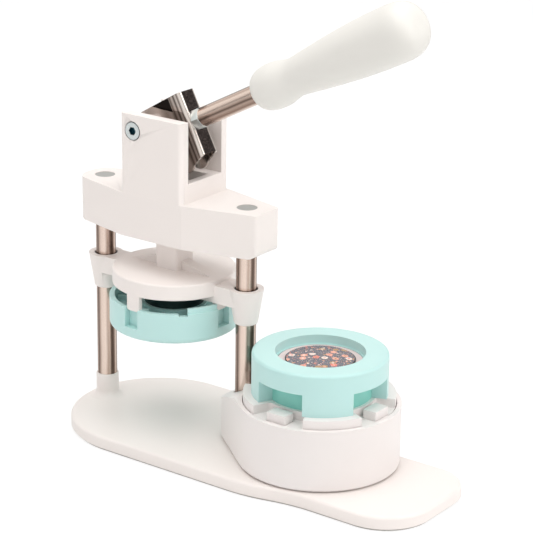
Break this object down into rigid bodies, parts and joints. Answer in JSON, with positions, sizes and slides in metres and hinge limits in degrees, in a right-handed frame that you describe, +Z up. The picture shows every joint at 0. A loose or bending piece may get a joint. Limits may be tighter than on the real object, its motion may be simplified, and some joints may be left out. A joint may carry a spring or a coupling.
{
  "type": "button badge press",
  "caption": "Hand lever press for pin badges: the lever drives a ram down its columns, and a swing-out tray carries the lower die with a badge.",
  "frame": {"origin": "on the resting surface under the ram axis, midway between the columns", "axes": "+Z up along the ram axis, +X from the ram to the swung-out tray and the handle, -Y the front"},
  "size_m": [0.291, 0.12, 0.3193],
  "materials": {
    "coated_metal": "smooth powder coat",
    "white_plastic": "semi-gloss moulded",
    "rubber_sheet": "matt",
    "chrome_steel": "polished",
    "plated_steel": "zinc plated",
    "dark_steel": "blackened",
    "grip_plastic": "satin",
    "bush_plastic": "satin",
    "mint_plastic": "semi-gloss moulded",
    "deep_mint": "semi-gloss moulded",
    "pad_plastic": "satin",
    "badge_metal": "gloss",
    "printed_paper": "printed",
    "clear_film": "clear"
  },
  "bodies": {
    "frame": {"base_plate": "coated_metal", "base_pad": "rubber_sheet", "column_bolts": "dark_steel", "column_left": "chrome_steel", "column_right": "chrome_steel", "crosshead": "coated_metal", "set_screws": "dark_steel", "pivot_screw": "plated_steel", "pivot_washer": "plated_steel", "pivot_nut": "plated_steel", "pivot_spacers": "white_plastic", "tray_washer": "plated_steel"},
    "lever": {"lever_head": "chrome_steel", "pivot_bush": "plated_steel", "lever_rod": "chrome_steel", "rod_nut": "plated_steel", "grip": "grip_plastic"},
    "ram": {"ram": "coated_metal", "guide_bushes": "bush_plastic", "ram_yoke": "plated_steel", "yoke_screws": "plated_steel", "drive_pin": "plated_steel", "pin_clips": "dark_steel", "upper_die": "mint_plastic", "upper_punch": "deep_mint"},
    "tray": {"swing_tray": "white_plastic", "tray_bush": "bush_plastic", "tray_glides": "bush_plastic", "die_seat": "white_plastic"},
    "die": {"lower_die": "mint_plastic", "lower_core": "deep_mint"},
    "pad": {"die_pad": "pad_plastic", "pad_spring": "plated_steel", "badge_shell": "badge_metal", "badge_print": "printed_paper", "badge_film": "clear_film"}
  },
  "joints": [
    {"name": "lever_turn", "type": "hinge", "parent": "frame", "child": "lever", "pos_m": [-0.0148, 0, 0.2129], "axis": [0, 1, 0], "range_deg": [-50, 20]},
    {"name": "ram_slide", "type": "slide", "parent": "frame", "child": "ram", "axis": [0, 0, -1], "range_m": [-0.0144, 0.0058]},
    {"name": "tray_swing", "type": "hinge", "parent": "frame", "child": "tray", "pos_m": [0.06, 0, 0.03], "axis": [0, 0, 1], "range_deg": [-80, 80]},
    {"name": "die_lift", "type": "slide", "parent": "tray", "child": "die", "axis": [0, 0, 1], "range_m": [0, 0.025]},
    {"name": "pad_press", "type": "slide", "parent": "die", "child": "pad", "axis": [0, 0, -1], "range_m": [0, 0.003], "stiffness_N_per_m": 1500, "springref_m": -0.002, "deforming": ["pad_spring"]}
  ],
  "couplings": [
    {"joint": "ram_slide", "follows": "lever_turn", "m_per_rad": 0.01643}
  ]
}
